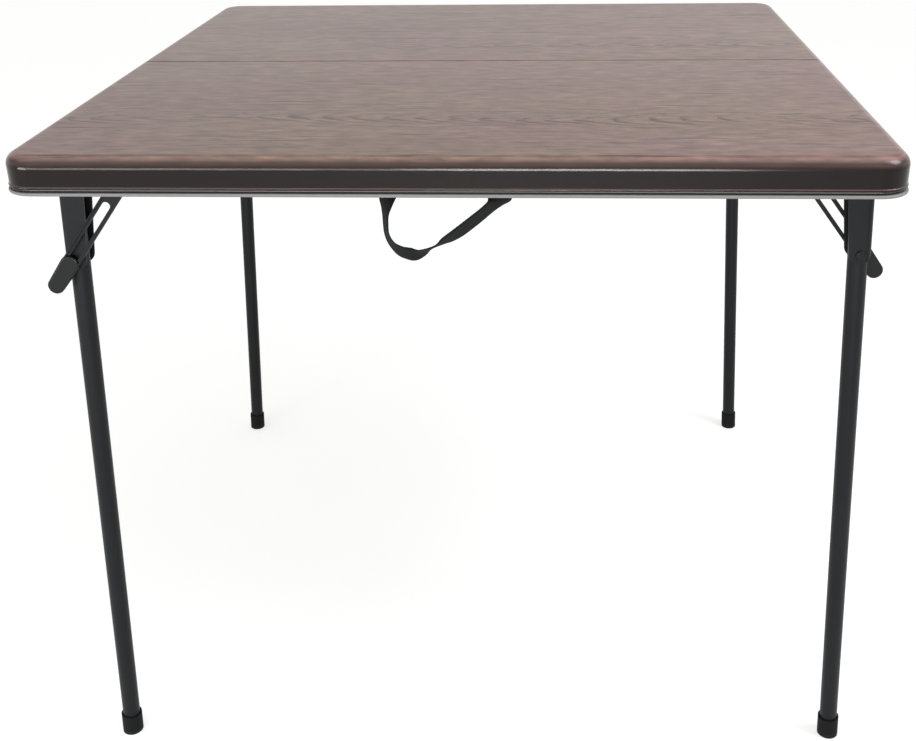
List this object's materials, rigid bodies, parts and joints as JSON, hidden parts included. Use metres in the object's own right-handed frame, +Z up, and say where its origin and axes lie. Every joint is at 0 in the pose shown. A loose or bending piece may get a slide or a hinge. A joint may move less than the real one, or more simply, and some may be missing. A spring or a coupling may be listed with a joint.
{
  "type": "folding card table",
  "caption": "Square card table with a moulded wood-grain top that folds in half at centre hinges, splayed steel legs on slotted locking braces and a webbing carry strap.",
  "frame": {"origin": "on the floor under the middle of the open table", "axes": "+Z up, +X to the right along the centre fold, -Y towards the edge with the carry strap"},
  "size_m": [0.8944, 0.865, 0.735],
  "materials": {
    "panel": "brown wood-grain film moulded on to light grey polyethylene",
    "leg_steel": "charcoal powder coat",
    "bracket_steel": "charcoal powder coat",
    "bright_steel": "zinc plated",
    "grip": "satin black",
    "cap": "matt black",
    "webbing": "black polypropylene webbing"
  },
  "bodies": {
    "front_half": {"panel_front": "panel", "bracket_screws_front": "bright_steel", "hinge_screws_front": "bright_steel", "hinge_leaf_front_left": "bright_steel", "hinge_leaf_front_middle": "bright_steel", "hinge_leaf_front_right": "bright_steel", "leg_bracket_fl": "bracket_steel", "leg_pin_fl": "bracket_steel", "brace_rivet_fl": "bracket_steel", "leg_bracket_fr": "bracket_steel", "leg_pin_fr": "bracket_steel", "brace_rivet_fr": "bracket_steel", "hinge_pin_left": "bright_steel", "hinge_pin_middle": "bright_steel", "hinge_pin_right": "bright_steel", "carry_strap": "webbing", "strap_plate_left": "bracket_steel", "strap_plate_right": "bracket_steel", "strap_screws": "bright_steel"},
    "rear_half": {"panel_rear": "panel", "bracket_screws_rear": "bright_steel", "hinge_screws_rear": "bright_steel", "hinge_leaf_rear_left": "bright_steel", "hinge_leaf_rear_middle": "bright_steel", "hinge_leaf_rear_right": "bright_steel", "leg_bracket_rl": "bracket_steel", "leg_pin_rl": "bracket_steel", "brace_rivet_rl": "bracket_steel", "leg_bracket_rr": "bracket_steel", "leg_pin_rr": "bracket_steel", "brace_rivet_rr": "bracket_steel"},
    "leg_fl": {"leg_tube_fl": "leg_steel", "leg_yoke_fl": "leg_steel", "foot_cap_fl": "cap", "slot_pin_fl": "bracket_steel"},
    "brace_fl": {"leg_brace_fl": "leg_steel", "brace_grip_fl": "grip"},
    "leg_fr": {"leg_tube_fr": "leg_steel", "leg_yoke_fr": "leg_steel", "foot_cap_fr": "cap", "slot_pin_fr": "bracket_steel"},
    "brace_fr": {"leg_brace_fr": "leg_steel", "brace_grip_fr": "grip"},
    "leg_rl": {"leg_tube_rl": "leg_steel", "leg_yoke_rl": "leg_steel", "foot_cap_rl": "cap", "slot_pin_rl": "bracket_steel"},
    "brace_rl": {"leg_brace_rl": "leg_steel", "brace_grip_rl": "grip"},
    "leg_rr": {"leg_tube_rr": "leg_steel", "leg_yoke_rr": "leg_steel", "foot_cap_rr": "cap", "slot_pin_rr": "bracket_steel"},
    "brace_rr": {"leg_brace_rr": "leg_steel", "brace_grip_rr": "grip"}
  },
  "joints": [
    {"name": "centre_fold", "type": "hinge", "parent": "front_half", "child": "rear_half", "pos_m": [0, 0, 0.6965], "axis": [-1, 0, 0], "range_deg": [0, 120]},
    {"name": "leg_fold_fl", "type": "hinge", "parent": "front_half", "child": "leg_fl", "pos_m": [-0.3703, -0.394, 0.7135], "axis": [0, -1, 0], "range_deg": [0, 93]},
    {"name": "brace_swing_fl", "type": "hinge", "parent": "front_half", "child": "brace_fl", "pos_m": [-0.315, -0.394, 0.71], "axis": [0, -1, 0], "range_deg": [0, 126.92]},
    {"name": "leg_fold_fr", "type": "hinge", "parent": "front_half", "child": "leg_fr", "pos_m": [0.3943, -0.366, 0.7135], "axis": [0, 1, 0], "range_deg": [0, 93]},
    {"name": "brace_swing_fr", "type": "hinge", "parent": "front_half", "child": "brace_fr", "pos_m": [0.339, -0.366, 0.71], "axis": [0, 1, 0], "range_deg": [0, 126.92]},
    {"name": "leg_fold_rl", "type": "hinge", "parent": "rear_half", "child": "leg_rl", "pos_m": [-0.3943, 0.366, 0.7135], "axis": [0, -1, 0], "range_deg": [0, 93]},
    {"name": "brace_swing_rl", "type": "hinge", "parent": "rear_half", "child": "brace_rl", "pos_m": [-0.339, 0.366, 0.71], "axis": [0, -1, 0], "range_deg": [0, 126.92]},
    {"name": "leg_fold_rr", "type": "hinge", "parent": "rear_half", "child": "leg_rr", "pos_m": [0.3703, 0.394, 0.7135], "axis": [0, 1, 0], "range_deg": [0, 93]},
    {"name": "brace_swing_rr", "type": "hinge", "parent": "rear_half", "child": "brace_rr", "pos_m": [0.315, 0.394, 0.71], "axis": [0, 1, 0], "range_deg": [0, 126.92]}
  ],
  "couplings": [
    {"joint": "brace_swing_fl", "follows": "leg_fold_fl", "ratio": 1.3647},
    {"joint": "brace_swing_fr", "follows": "leg_fold_fr", "ratio": 1.3647},
    {"joint": "brace_swing_rl", "follows": "leg_fold_rl", "ratio": 1.3647},
    {"joint": "brace_swing_rr", "follows": "leg_fold_rr", "ratio": 1.3647}
  ]
}
